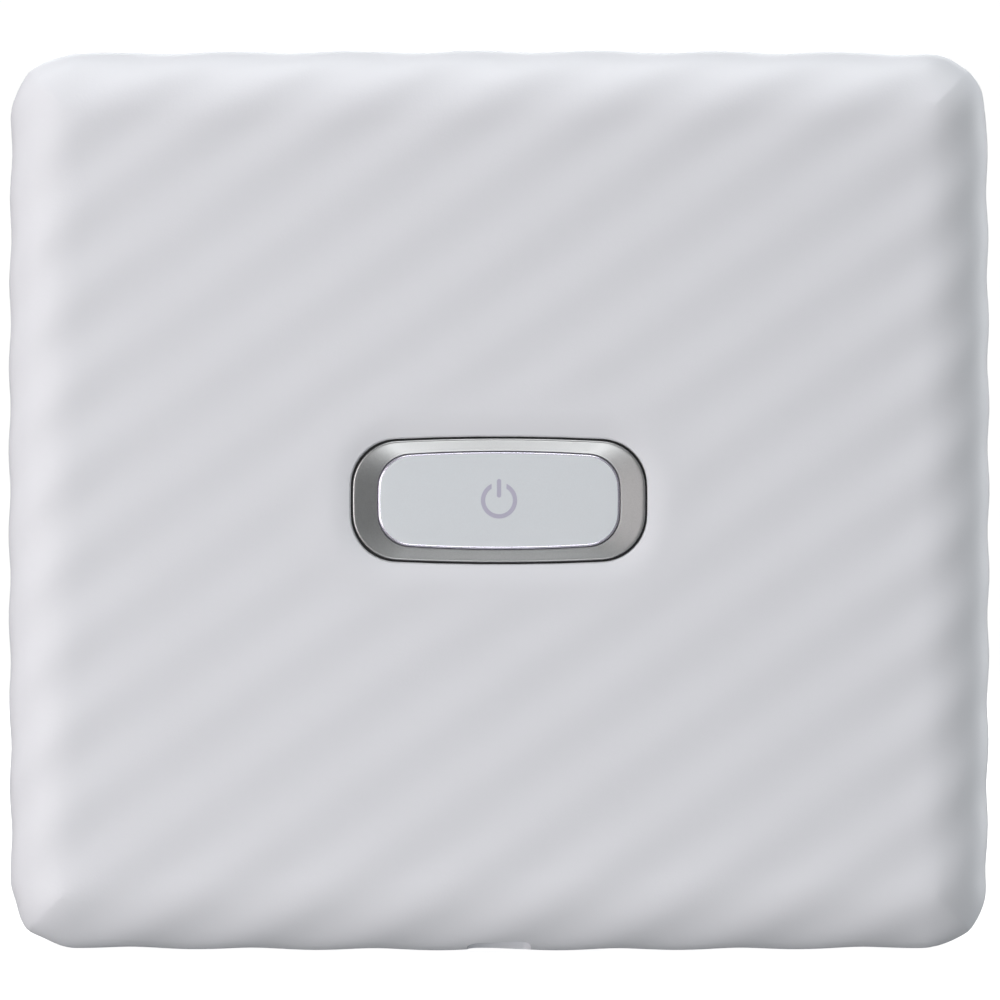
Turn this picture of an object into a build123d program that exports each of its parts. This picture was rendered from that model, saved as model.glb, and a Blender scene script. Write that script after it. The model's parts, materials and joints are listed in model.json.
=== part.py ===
from build123d import *
import os
from math import acos, atan2, cos, degrees, hypot, pi, radians, sin, sqrt, tan

# Wide-format instant film printer, standing upright: a flat, soft-edged casing with a round-ended
# power button in the middle of its front, a film slot in the top and a film door in the back.
#
# Frame, in millimetres: +X to the right as seen from the front, +Y from front to back, +Z up.
# The origin is the centre of the footprint, on the surface that the printer stands on.

# ---------------------------------------------------------------- casing
WIDTH, HEIGHT, DEPTH = 139.0, 127.5, 33.7
WALL = 2.0
CORNER_R = 9.5            # the casing's four corners, seen from the front
EDGE_R = 7.5              # the soft edge between the front or back and the sides
FRONT, BACK = -DEPTH / 2, DEPTH / 2
FRONT_IN, BACK_IN = FRONT + WALL, BACK - WALL
SIDE_IN = WIDTH / 2 - WALL
TOP_IN = HEIGHT - WALL
SPLIT_Y = 6.0             # where the front and rear covers meet
SPLIT_GAP = 0.25
SEAM_BEVEL = 0.3          # the eased edges along the covers' and the door's seams
LIP = 1.5                 # how far the rear cover's tongue reaches into the front cover
FAR = 200.0               # larger than the printer, for half-space cuts

# ---------------------------------------------------------------- power button
BUTTON_Z = HEIGHT / 2
BEZEL = (41.15, 17.4)     # outer size of the metal ring
BEZEL_R, PAD_R = 6.5, 4.7
PAD = (34.1, 13.75)
BOW = 0.7                 # how far the ring's and the pad's long sides bulge
PANEL_GAP = 0.3
PRESS = 0.4               # travel of every button

# ---------------------------------------------------------------- film path and chamber
CHAMBER_X = 60.5          # half the chamber's width
CHAMBER_Z = (12.0, 106.3)
FLOOR_Y = (-1.8, -0.3)    # the chamber's front wall
RIM_Y = 13.6              # the chamber's rear edge
TRAY_WALL = 1.2
FILM_Y = 1.0              # the plane that the film leaves in
SLOT = (113.0, 4.8)

# ---------------------------------------------------------------- rollers
ROLLER_Z = 114.0
ROLLER_R, ROLLER_HALF = 3.65, 57.4
ROLLER_PITCH = 7.5
DRIVE_Y = FILM_Y - ROLLER_PITCH / 2
PINCH_Y = FILM_Y + ROLLER_PITCH / 2
DRIVE_SHAFT_R, PINCH_SHAFT_R = 1.5, 1.25
RUNNING = 0.05            # radial clearance of every shaft in its hole

# ---------------------------------------------------------------- gears
MODULE = 0.5
LAYER_A, LAYER_B, LAYER_C = (62.0, 63.3), (63.5, 64.8), (65.0, 66.3)
WHEEL_T, SMALL_T, IDLER_T, CAM_T, ROLLER_T, MOTOR_T = 36, 12, 24, 48, 15, 10
POST_R = 0.6
GEAR_PLATE_X = (66.5, 67.0)
MOTOR_AT = (-8.4, 75.0)
BACKLASH = 0.035          # taken off each tooth flank
CAM_R, CAM_OFFSET = 3.0, 2.0
CAM_CLEARANCE = 0.3

# ---------------------------------------------------------------- circuit board
BOARD_Y = (-9.4, -8.4)
BOARD_X = (-20.0, 38.0)
BOARD_Z = (7.0, 98.0)
USB_Y = -10.8

# ---------------------------------------------------------------- film door
DOOR_X, DOOR_Z = 61.85, (9.6, 107.4)
DOOR_GAP = 0.3
DOOR_CORNER_R = 1.5
DOOR_SEAT_Y = 15.05       # the door's opening has rounded corners behind this plane
HINGE_R = 1.3             # the door's rolled edge
HINGE_X, HINGE_Y = -DOOR_X + HINGE_R, BACK - HINGE_R
PIN_R = 0.6
LATCH_Z = 58.5
LATCH_TRAVEL = 2.5


# ================================================================ small helpers
def block(x0, x1, y0, y1, z0, z1):
    """A box from its six faces."""
    return Pos((x0 + x1) / 2, (y0 + y1) / 2, (z0 + z1) / 2) * Box(x1 - x0, y1 - y0, z1 - z0)


def prism_x(sketch, x0, x1, y=0.0, z=0.0):
    """A sketch drawn with +Y to its right and +Z up, made solid from x0 to x1."""
    plane = Plane(origin=(x0, y, z), x_dir=(0, 1, 0), z_dir=(1, 0, 0))
    return extrude(plane * sketch, amount=x1 - x0)


def prism_y(sketch, y0, y1, x=0.0, z=0.0):
    """A sketch drawn with +X to its right and +Z up, made solid from y0 to y1."""
    plane = Plane(origin=(x, y1, z), x_dir=(1, 0, 0), z_dir=(0, -1, 0))
    return extrude(plane * sketch, amount=y1 - y0)


def prism_z(sketch, z0, z1, x=0.0, y=0.0):
    """A sketch drawn with +X to its right and +Y up, made solid from z0 to z1."""
    return extrude(Pos(x, y, z0) * sketch, amount=z1 - z0)


def rod_x(radius, x0, x1, y, z):
    return prism_x(Circle(radius), x0, x1, y, z)


def rod_y(radius, y0, y1, x, z):
    return prism_y(Circle(radius), y0, y1, x, z)


def rod_z(radius, z0, z1, x, y):
    return prism_z(Circle(radius), z0, z1, x, y)


def bowed_rectangle(width, height, corner, bow):
    """A rounded rectangle whose sides bulge outwards by bow, inside width by height."""
    x, y = width / 2, height / 2
    cx, cy = x - bow / 2, y - bow
    outline = (
        ThreePointArc((-cx, -cy), (0, -y), (cx, -cy))
        + ThreePointArc((cx, -cy), (x, 0), (cx, cy))
        + ThreePointArc((cx, cy), (0, y), (-cx, cy))
        + ThreePointArc((-cx, cy), (-x, 0), (-cx, -cy))
    )
    face = make_face(outline)
    return fillet(face.vertices(), corner)


def coil_spring(start, end, coil_r, wire_r, turns):
    """A helical spring between two points."""
    a, b = Vector(*start), Vector(*end)
    length = (b - a).length
    path = Helix(length / turns, length, coil_r, center=start, direction=(b - a).normalized())
    ring = Plane(origin=path @ 0, z_dir=path % 0) * Circle(wire_r)
    return sweep(ring, path=path, is_frenet=True)


def screw(radius, length, head_r, head_h, place):
    """A cross-recessed screw along -Z, its head above the origin, put in place."""
    body = rod_z(radius, -length, 0, 0, 0) + rod_z(head_r, 0, head_h, 0, 0)
    arm, depth = head_r * 0.62, head_h * 0.55
    recess = Rectangle(2 * arm, 0.36 * head_r) + Rectangle(0.36 * head_r, 2 * arm)
    body -= prism_z(recess, head_h - depth, head_h + 1, 0, 0)
    return place * body


def ring_of(shapes):
    """Separate solids that share one node."""
    return Compound(children=list(shapes))


# ================================================================ casing
def slab(inset, ease=0.0):
    """The casing's outer body, made smaller by inset on every side."""
    body = Pos(0, 0, HEIGHT / 2) * Box(WIDTH - 2 * inset, DEPTH - 2 * inset, HEIGHT - 2 * inset)
    body = fillet(body.edges().filter_by(Axis.Y), CORNER_R - inset)
    faces = body.faces().sort_by(Axis.Y)
    return fillet(faces[0].edges() + faces[-1].edges(), EDGE_R - inset - ease)


def before(y):
    """Everything in front of the plane at y."""
    return block(-FAR, FAR, -FAR, y, -FAR, FAR)


def behind(y):
    """Everything behind the plane at y."""
    return block(-FAR, FAR, y, FAR, -FAR, FAR)


def edges_in(shape, x0, x1, y0, y1, z0, z1):
    """The edges whose middles lie in a box."""
    def inside(edge):
        c = edge @ 0.5
        return x0 < c.X < x1 and y0 < c.Y < y1 and z0 < c.Z < z1
    return shape.edges().filter_by(inside)


OUTER, INNER, MIDDLE = slab(0.0), slab(WALL), slab(1.0)
TONGUE = slab(1.08)
FRONT_BOSSES = [(-56.0, 6.5), (56.0, 6.5), (-50.0, 121.0), (50.0, 121.0)]
REAR_BOSSES = [(-50.0, 119.6), (50.0, 119.6)]
FOOT_BOSSES = [(-45.0, 10.0), (45.0, 10.0)]
FOOT_RECESS = 2.0         # how deep the bottom screws are sunk
FUNCTION_AT = (-3.5, 84.0)
RESET_AT = (14.0, -6.6)
SCREW_R, PILOT_R, CLEAR_R = 0.8, 0.8, 1.0
BOSS_R = 2.3
TOP_BEAM = (118.4, 124.3)
FRONT_BEAM_Y, REAR_BEAM_Y = (-8.0, -6.2), (8.6, 10.4)


def front_cover():
    half = OUTER & before(SPLIT_Y - SPLIT_GAP / 2)
    body = chamfer(half.faces().sort_by(Axis.Y)[-1].edges(), SEAM_BEVEL) - INNER
    body -= MIDDLE & block(-FAR, FAR, SPLIT_Y - LIP - 0.1, FAR, -FAR, FAR)
    for x, z in FRONT_BOSSES:
        reach = FRONT_BEAM_Y[0] if z > BUTTON_Z else FLOOR_Y[0]
        boss = rod_y(BOSS_R, FRONT_IN - 0.5, reach, x, z)
        body += boss & OUTER
        body -= rod_y(PILOT_R, reach - 5.5, reach + 1, x, z)
    # the opening for the power button's ring
    opening = bowed_rectangle(BEZEL[0] + 2 * PANEL_GAP, BEZEL[1] + 2 * PANEL_GAP, BEZEL_R, BOW)
    body -= prism_y(opening, FRONT - 1, FRONT_IN + 1, 0, BUTTON_Z)
    body = chamfer(edges_in(body, -24, 24, FRONT - 0.1, FRONT + 0.1, 50, 77), 0.2)
    # the film slot in the top
    body -= prism_z(RectangleRounded(*SLOT, 1.2), TOP_IN - 1, HEIGHT + 1, 0, FILM_Y)
    body = chamfer(edges_in(body, -60, 60, -2, 4, HEIGHT - 0.1, HEIGHT + 0.1), 0.35)
    # the charging socket's recess, with a floor that frames the socket
    body += block(-6.2, 6.2, -13.6, -7.8, 1.3, 3.2) & OUTER
    body -= prism_z(RectangleRounded(9.0, 4.6, 1.4), -1, 1.3, 0, USB_Y)
    body -= prism_z(RectangleRounded(8.0, 3.1, 0.6), -1, 4, 0, USB_Y)
    # the holes for the side button and the reset plunger
    body -= prism_x(Rot(0, 0, 90) * SlotOverall(12.2, 4.2), -WIDTH / 2 - 1, -SIDE_IN + 0.5, *FUNCTION_AT)
    body -= rod_z(1.3, -1, WALL + 1, *RESET_AT)
    # ribs that stiffen the front wall, clear of the button
    for z in (24.0, 98.5):
        body += block(-52, -24, FRONT_IN - 0.2, FRONT_IN + 1.6, z - 0.5, z + 0.5)
    for x in (-50.0, -30.0):
        body += block(x - 0.5, x + 0.5, FRONT_IN - 0.2, FRONT_IN + 1.6, 24, 98.5)
    return body


def rear_cover():
    half = OUTER & behind(SPLIT_Y + SPLIT_GAP / 2)
    body = chamfer(half.faces().sort_by(Axis.Y)[0].edges(), SEAM_BEVEL) - INNER
    lip = (TONGUE - INNER) & block(-FAR, FAR, SPLIT_Y - LIP, SPLIT_Y + 1, -FAR, FAR)
    body += lip
    # the door's opening, framed by a skirt
    x, (z0, z1), skirt = DOOR_X + DOOR_GAP, DOOR_Z, 1.2
    z0, z1 = z0 - DOOR_GAP, z1 + DOOR_GAP
    body += block(-x - skirt, x + skirt, 12.9, BACK_IN + 0.5, z0 - skirt, z1 + skirt) & OUTER
    opening = block(-x, x, DOOR_SEAT_Y, BACK + 1, z0, z1)
    opening = fillet(opening.edges().filter_by(Axis.Y).sort_by(Axis.X)[2:], DOOR_CORNER_R + DOOR_GAP)
    body -= opening + block(-x, x, 12.0, DOOR_SEAT_Y + 0.1, z0, z1)
    rim = edges_in(body, -x - 0.1, x + 0.1, BACK - 0.1, BACK + 0.1, z0 - 0.1, z1 + 0.1)
    body = chamfer(rim, SEAM_BEVEL)
    # holes for the hinge pins, with a little more wall round each
    for low, high in ((z0 - 3.2, z0), (z1, z1 + 3.2)):
        body += block(HINGE_X - 1.3, HINGE_X + 1.7, 13.6, BACK_IN + 0.5, low, high)
        body -= rod_z(PIN_R + RUNNING, low + 0.6, high - 0.6, HINGE_X, HINGE_Y)
        body -= rod_z(PIN_R + RUNNING, z0 - 1, z1 + 1, HINGE_X, HINGE_Y)
    # the keeper that the latch's tongue slides into
    body -= block(x - 1, x + skirt + 0.2, 13.2, 14.95, LATCH_Z - 5, LATCH_Z + 5)
    for bx, bz in REAR_BOSSES:
        body += rod_y(2.2, REAR_BEAM_Y[1] + 0.1, BACK_IN + 0.5, bx, bz)
        body -= rod_y(CLEAR_R, 0, BACK + 1, bx, bz)
        body -= rod_y(1.8, BACK - 1.3, BACK + 1, bx, bz)
    for bx, by in FOOT_BOSSES:
        body += rod_z(2.6, WALL - 0.5, 4.0, bx, by)
        body -= rod_z(CLEAR_R, -1, 5, bx, by)
        body -= rod_z(1.8, -1, FOOT_RECESS, bx, by)
    return body


# ================================================================ power button
BEZEL_RIM_Y = FRONT + 0.35   # the ring's outer rim, and its surface beside the pad
BEZEL_INNER_Y = FRONT + 0.92
BEZEL_RIM = 0.35


def button_bezel():
    """A satin metal ring, dished: from its outer rim it slopes in towards the pad."""
    back_y = FRONT_IN + 1.0
    ring = prism_y(bowed_rectangle(*BEZEL, BEZEL_R, BOW), BEZEL_RIM_Y, back_y, 0, BUTTON_Z)
    flange = bowed_rectangle(BEZEL[0] + 3.4, BEZEL[1] + 3.4, BEZEL_R + 1.2, BOW)
    ring += prism_y(flange, FRONT_IN + 0.05, back_y, 0, BUTTON_Z)
    hole = bowed_rectangle(PAD[0] + 0.4, PAD[1] + 0.4, PAD_R, BOW)
    crest = bowed_rectangle(BEZEL[0] - 2 * BEZEL_RIM, BEZEL[1] - 2 * BEZEL_RIM, BEZEL_R - BEZEL_RIM, BOW)
    rim = Plane(origin=(0, BEZEL_RIM_Y, BUTTON_Z), x_dir=(1, 0, 0), z_dir=(0, -1, 0)) * crest
    low = Plane(origin=(0, BEZEL_INNER_Y, BUTTON_Z), x_dir=(1, 0, 0), z_dir=(0, -1, 0)) * hole
    ring -= loft([low, rim])
    return ring - prism_y(hole, FRONT - 2, back_y + 2, 0, BUTTON_Z)


PAD_Y = FRONT + 0.6
MARK_DEPTH = 0.1


def power_symbol(grow=0.0):
    """The generic power sign: an open ring and a bar."""
    ring = Circle(2.55 + grow) - Circle(1.95 - grow)
    ring -= Pos(0, 2.5) * Rectangle(2.1, 2.6)
    return ring, Pos(0, 1.7) * SlotOverall(2.6, 0.6).rotate(Axis.Z, 90)


def power_button():
    pad = prism_y(bowed_rectangle(*PAD, PAD_R, BOW), PAD_Y, FRONT + 3.4, 0, BUTTON_Z)
    pad = fillet(pad.faces().sort_by(Axis.Y)[0].edges(), 0.5)
    flange = bowed_rectangle(PAD[0] + 2.6, PAD[1] + 2.2, PAD_R, BOW)
    pad += prism_y(flange, FRONT + 3.15, FRONT + 3.95, 0, BUTTON_Z)
    pad += rod_y(2.0, FRONT + 3.9, BOARD_Y[0] - 1.95, 0, BUTTON_Z)
    for shape in power_symbol():
        pad -= prism_y(shape, PAD_Y - 1, PAD_Y + MARK_DEPTH, 0, BUTTON_Z)
    return pad


def power_mark():
    return ring_of(
        prism_y(shape, PAD_Y - 0.02, PAD_Y + MARK_DEPTH, 0, BUTTON_Z) for shape in power_symbol())


def light_guide():
    front = FRONT + 3.95 + PRESS + 0.1
    body = prism_y(RectangleRounded(31, 11, 3), front, front + 1.0, 0, BUTTON_Z)
    for x in (-10, 10):
        body += block(x - 2, x + 2, front + 0.9, BOARD_Y[0] - 0.85, BUTTON_Z - 1.5, BUTTON_Z + 1.5)
    return body - rod_y(2.8, front - 1, front + 2, 0, BUTTON_Z)


def status_leds():
    y = BOARD_Y[0]
    return ring_of(block(x - 0.8, x + 0.8, y - 0.75, y, BUTTON_Z - 0.8, BUTTON_Z + 0.8) for x in (-10, 10))


def power_switch():
    y = BOARD_Y[0]
    body = block(-3, 3, y - 1.2, y, BUTTON_Z - 3, BUTTON_Z + 3)
    return body + rod_y(1.5, y - 1.45, y - 1.1, 0, BUTTON_Z)


# ================================================================ side and reset buttons
def function_button():
    cap = Rot(0, 0, 90) * SlotOverall(11.7, 3.7)
    body = prism_x(cap, -WIDTH / 2 + 0.15, -SIDE_IN + 0.6, *FUNCTION_AT)
    body = fillet(body.faces().sort_by(Axis.X)[0].edges(), 0.4)
    body += prism_x(Rot(0, 0, 90) * SlotOverall(13.8, 5.8), -SIDE_IN + 0.1, -SIDE_IN + 0.9, *FUNCTION_AT)
    return body + rod_x(1.25, -SIDE_IN + 0.8, -65.95, *FUNCTION_AT)


def side_board():
    y, z = FUNCTION_AT
    body = block(-63.9, -63.1, -6.8, 4.6, z - 8, z + 8)
    for dz in (-5.5, 5.5):
        body -= rod_x(0.9, -65, -62, 2.4, z + dz)
    return body


def function_switch():
    y, z = FUNCTION_AT
    return block(-65.2, -63.9, y - 2.2, y + 2.2, z - 2.2, z + 2.2) + rod_x(1.0, -65.45, -65.1, y, z)


def reset_button():
    body = rod_z(1.1, 0.35, 3.85, *RESET_AT)
    return body + rod_z(1.8, WALL + 0.05, WALL + 0.8, *RESET_AT)


def reset_switch():
    x, y = RESET_AT
    return block(x - 2.5, x + 2.5, BOARD_Y[1], y + 1.6, 4.6, 9.0) + rod_z(0.8, 4.35, 4.7, x, y)


# ================================================================ circuit boards
BOARD_POSTS = [(-16.5, 12.0), (34.5, 12.0), (-16.5, 94.0), (34.5, 94.0)]


def main_board():
    body = block(*BOARD_X, *BOARD_Y, *BOARD_Z)
    body -= block(24, 40, -10, -8, 60, 84)                      # clear of the motor's end
    body += block(-6, 18, *BOARD_Y, 3.4, 7.5)                   # tongue that carries the socket
    for x, z in BOARD_POSTS:
        body -= rod_y(CLEAR_R, -10, -8, x, z)
    return body


def usb_socket():
    """A charging socket: a folded metal shell with a plastic tongue inside."""
    shell = prism_z(RectangleRounded(7.5, 2.75, 0.5), 1.6, 6.8, 0, USB_Y)
    shell -= prism_z(RectangleRounded(6.9, 2.15, 0.4), 1.0, 6.2, 0, USB_Y)
    return shell + block(-2.6, 2.6, USB_Y - 0.3, USB_Y + 0.3, 2.4, 6.4)


def board_chips():
    y = BOARD_Y[1]
    spots = [(-8, 40, 9, 9, 1.0), (6, 44, 6, 6, 0.9), (14, 28, 7, 5, 1.1), (30, 34, 5, 8, 1.0), (4, 84, 8, 6, 1.0)]
    return ring_of(
        block(x - w / 2, x + w / 2, y, y + t, z - h / 2, z + h / 2) for x, z, w, h, t in spots)


def shield_can():
    """The pressed cover over the radio."""
    y = BOARD_Y[1]
    body = block(8, 26, y, y + 2.0, 52, 70) - block(8.2, 25.8, y - 1, y + 1.8, 52.2, 69.8)
    return body


def board_connectors():
    y = BOARD_Y[0]
    spots = [(0, 95.4, 24, 3.4, 1.4), (-16, 30, 5, 6, 2.6), (30, 88, 5, 5, 2.6)]
    return ring_of(
        block(x - w / 2, x + w / 2, y - t, y, z - h / 2, z + h / 2) for x, z, w, h, t in spots)


def battery():
    body = block(-58, -24, -7.9, -2.5, 22, 88)
    body = fillet(body.edges().filter_by(Axis.Z), 1.6)
    return body + block(-52, -30, -7.2, -3.2, 87.5, 91)


def wire(points, radius, bend):
    """A round lead along straight runs joined by arcs."""
    path = FilletPolyline(*points, radius=bend)
    ring = Plane(origin=points[0], z_dir=Vector(*points[1]) - Vector(*points[0])) * Circle(radius)
    return sweep(ring, path=path)


def battery_leads():
    leads = []
    for k, x in enumerate((-34.0, -36.0)):
        top = 94.0 + 2.0 * k
        z = 31.0 - 1.6 * k
        leads.append(wire([(x, -5.2, 91.0), (x, -5.2, top), (x, -11.4, top), (-22.0, -11.4, top - 6),
                           (-22.0 + k, -11.4, z), (-18.5, -11.4, z)], 0.45, 1.4))
    return ring_of(leads)


# ================================================================ chassis
def across(teeth_a, teeth_b):
    """The distance between two meshed gears' axes."""
    return MODULE * (teeth_a + teeth_b) / 2


def reach(centre, distance, y, up):
    """The point at that Y, a distance away from centre in the YZ plane, above or below it."""
    rise = sqrt(distance ** 2 - (y - centre[0]) ** 2)
    return (y, centre[1] + (rise if up else -rise))


def between(a, ra, b, rb, side):
    """The point that is ra from a and rb from b."""
    dy, dz = b[0] - a[0], b[1] - a[1]
    d = hypot(dy, dz)
    along = (ra ** 2 - rb ** 2 + d ** 2) / (2 * d)
    off = side * sqrt(ra ** 2 - along ** 2)
    return (a[0] + along * dy / d - off * dz / d, a[1] + along * dz / d + off * dy / d)


DRIVE_AT, PINCH_AT = (DRIVE_Y, ROLLER_Z), (PINCH_Y, ROLLER_Z)
FIRST_AT = reach(MOTOR_AT, across(MOTOR_T, WHEEL_T), -2.9, True)
SECOND_AT = reach(FIRST_AT, across(SMALL_T, WHEEL_T), 1.5, True)
IDLER_AT = between(SECOND_AT, across(SMALL_T, IDLER_T), DRIVE_AT, across(IDLER_T, ROLLER_T), 1)
FEED_AT = reach(FIRST_AT, across(SMALL_T, WHEEL_T), 0.0, False)
CAM_AT = reach(FEED_AT, across(SMALL_T, CAM_T), 0.0, False)
COLUMNS = [(10.6, 84.8), (-9.6, 98.4), (10.8, 68.3)]
COLUMN_R = 1.7
CLAW_X = (50.0, 58.0)
CLAW_Y = (-3.2, -2.2)
CLAW_TRAVEL = 3.2
WALL_X = (CHAMBER_X, CHAMBER_X + TRAY_WALL)
PINCH_WINDOW = (2.7, 9.5, ROLLER_Z - 2.1, ROLLER_Z + 2.1)
BRACKET_SCREWS = [(-7.0, 111.2), (7.2, 117.2)]


def chassis():
    x0, x1 = WALL_X
    z0, z1 = CHAMBER_Z
    body = block(-x1, x1, *FLOOR_Y, 3.0, 106.8)                     # the chamber's floor
    for side in (-1, 1):
        lo, hi = sorted((side * x0, side * x1))
        body += block(lo, hi, FLOOR_Y[0], RIM_Y, z0 - TRAY_WALL, 107.3)
        body += block(lo, hi, -11.0, REAR_BEAM_Y[1], 102.0, TOP_BEAM[1])
    body += block(-x1, x1, FLOOR_Y[1] - 0.2, RIM_Y, z0 - TRAY_WALL, z0)
    body += block(-x1, x1, 3.6, RIM_Y, z1, z1 + 1.0)                # above the pack, behind the film
    for y in (FRONT_BEAM_Y, REAR_BEAM_Y):
        body += block(-x1, x1, *y, *TOP_BEAM)
    body += block(x0, x1, -13.4, FLOOR_Y[1], 50.0, 103.0)           # the gears' wall
    body -= block(x0 - 0.1, x1 + 0.1, 13.2, RIM_Y + 1, LATCH_Z - 5, LATCH_Z + 5)
    # holes in the side walls for the rollers
    for side in (-1, 1):
        lo, hi = sorted((side * (x0 - 1), side * (x1 + 1)))
        body -= rod_x(2.5, lo, hi, *DRIVE_AT)
        body -= block(lo, hi, *PINCH_WINDOW)
        for y, z in BRACKET_SCREWS:
            body -= rod_x(0.6, *sorted((side * (x0 - 1), side * (x1 - 0.2))), y, z)
    # posts, columns and the motor's place
    for y, z in (FIRST_AT, SECOND_AT, FEED_AT, CAM_AT):
        body += rod_x(1.6, x0, LAYER_A[0] - 0.1, y, z)
        body -= rod_x(POST_R, x0 + 0.2, x1 + 1, y, z)
    for y, z in COLUMNS:
        body += rod_x(COLUMN_R, x0, GEAR_PLATE_X[0], y, z)
        body += rod_x(0.8, GEAR_PLATE_X[0] - 0.5, GEAR_PLATE_X[1], y, z)
    body -= rod_x(2.3, x0 - 1, x1 + 1, *MOTOR_AT)
    y, z = MOTOR_AT
    for low, high in ((z - 7.4, z - 6.2), (z + 6.2, z + 7.4)):
        body += block(44, x0 + 0.5, -10.5, FLOOR_Y[0] + 0.2, low, high)
    body += block(44, x0 + 0.5, y + 5.1, FLOOR_Y[0] + 0.2, z - 6.5, z + 6.5)
    # the claw's slot and rails
    body -= block(CLAW_X[0] + 1.6, CLAW_X[1] - 1.6, -3, 0.5, 13.3, 19.8)
    for x in (CLAW_X[0] - 1.2, CLAW_X[1] + 0.2):
        body += block(x, x + 1.0, CLAW_Y[0] - 0.2, FLOOR_Y[0] + 0.2, 27.2, 40.0)
    body += block(44.8, 47.2, -4.0, FLOOR_Y[0] + 0.2, 42.0, 43.4)   # hook for the claw's spring
    # posts for the circuit boards
    for bx, bz in BOARD_POSTS:
        body += rod_y(2.2, BOARD_Y[1], FLOOR_Y[0] + 0.2, bx, bz)
        body -= rod_y(PILOT_R, BOARD_Y[1] - 1, -3.2, bx, bz)
    for dz in (-5.5, 5.5):
        body += rod_x(1.6, -63.1, -x0, 2.4, FUNCTION_AT[1] + dz)
        body -= rod_x(0.6, -64, -x0 - 0.4, 2.4, FUNCTION_AT[1] + dz)
    # lugs and holes for the cover screws
    for bx, bz in FRONT_BOSSES:
        body -= rod_y(CLEAR_R, -9, 1, bx, bz)
    for bx, bz in REAR_BOSSES:
        body -= rod_y(PILOT_R, 8, 11, bx, bz)
    for bx, by in FOOT_BOSSES:
        body += block(bx - 3, bx + 3, by - 3, by + 2.7, 4.1, z0 - TRAY_WALL + 0.2)
        body += block(bx - 0.6, bx + 0.6, FLOOR_Y[1] - 0.2, by - 2, 5.0, z0 - TRAY_WALL + 0.2)
        body -= rod_z(PILOT_R, 3, 9.6, bx, by)
    # ledges that hold the battery
    for z in (20.6, 92.2):
        body += block(-56, -38, -6.0, FLOOR_Y[0] + 0.2, z - 0.6, z + 0.6)
    return body


# ================================================================ film door
RIB = 1.0
PACK_BACK_Y = 13.3        # the rear face of a film pack in the chamber


def door_seal():
    """A felt frame on the chamber's rim, with a gap where the latch passes."""
    x0, x1 = WALL_X
    body = block(-x1, x1, RIM_Y, RIM_Y + 0.5, CHAMBER_Z[0] - TRAY_WALL, CHAMBER_Z[1] + 1.0)
    body -= block(-x0, x0, RIM_Y - 1, RIM_Y + 1, *CHAMBER_Z)
    return body - block(x0 - 1, x1 + 1, RIM_Y - 1, RIM_Y + 1, LATCH_Z - 5, LATCH_Z + 5)


def film_door():
    z0, z1 = DOOR_Z
    panel = block(HINGE_X, DOOR_X, BACK_IN, BACK, z0, z1)
    panel = fillet(panel.edges().filter_by(Axis.Y).sort_by(Axis.X)[2:], DOOR_CORNER_R)
    rim = edges_in(panel, HINGE_X + 0.1, DOOR_X + 1, BACK - 0.1, BACK + 0.1, 0, HEIGHT)
    panel = chamfer(rim, SEAM_BEVEL)
    panel += rod_z(HINGE_R, z0, z1, HINGE_X, HINGE_Y)
    for low, high in ((z0 - 1, z0 + 9), (z1 - 9, z1 + 1)):
        panel -= rod_z(PIN_R, low, high, HINGE_X, HINGE_Y)
    # the rib that closes onto the felt, open where the latch passes
    x = CHAMBER_X + 0.1
    top = CHAMBER_Z[1] + 0.1
    low = CHAMBER_Z[0] - 0.1
    rib_y = (RIM_Y + 0.6, BACK_IN + 0.2)
    panel += block(x, x + RIB, *rib_y, low - RIB, top + RIB) & behind(0)
    panel += block(-x + 3.0, x + RIB, *rib_y, top - 0.1, top + RIB - 0.1)
    panel += block(-x + 3.0, x + RIB, *rib_y, low - RIB, low)
    panel -= block(x - 1, x + RIB + 1, RIM_Y, BACK_IN, LATCH_Z - 5.2, LATCH_Z + 5.2)
    # the latch's window and its two guide rails
    panel -= prism_y(RectangleRounded(10.1, 6.6, 1.0), BACK_IN - 1, BACK + 1, 52.85, LATCH_Z)
    for z in (LATCH_Z - 5.3, LATCH_Z + 4.7):
        panel += block(44.0, 60.0, PACK_BACK_Y + 0.2, BACK_IN + 0.2, z, z + 0.6)
    panel += block(35.6, 36.6, PACK_BACK_Y + 0.2, BACK_IN + 0.2, LATCH_Z - 2, LATCH_Z + 2)
    # stiffening ribs
    for z in (26.0, 44.0, 73.0, 91.0):
        panel += block(-54, 56, BACK_IN - 0.5, BACK_IN + 0.2, z - 0.4, z + 0.4)
    # seats for the two pack springs
    for x in (-30, 30):
        for z in (37.0, 80.0):
            panel += block(x - 3, x + 3, BACK_IN - 0.5, BACK_IN + 0.2, z - 1.2, z + 1.2)
    return panel


def door_hinge_pins():
    z0, z1 = DOOR_Z
    return ring_of((
        rod_z(PIN_R, z0 - DOOR_GAP - 2.4, z0 + 8.8, HINGE_X, HINGE_Y),
        rod_z(PIN_R, z1 - 8.8, z1 + DOOR_GAP + 2.4, HINGE_X, HINGE_Y)))


def pack_springs():
    """Two bowed steel strips that press on the film pack."""
    crown, seat, thick, mid = PACK_BACK_Y + 0.15, BACK_IN - 0.5, 0.25, 58.5
    half = 22.5
    outline = (
        ThreePointArc((seat, mid - half), (crown, mid), (seat, mid + half))
        + Line((seat, mid + half), (seat - thick, mid + half))
        + ThreePointArc((seat - thick, mid + half), (crown - thick + 0.15, mid), (seat - thick, mid - half))
        + Line((seat - thick, mid - half), (seat, mid - half))
    )
    strip = make_face(outline)
    return ring_of(prism_x(strip, x - 4.5, x + 4.5) for x in (-30, 30))


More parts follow.
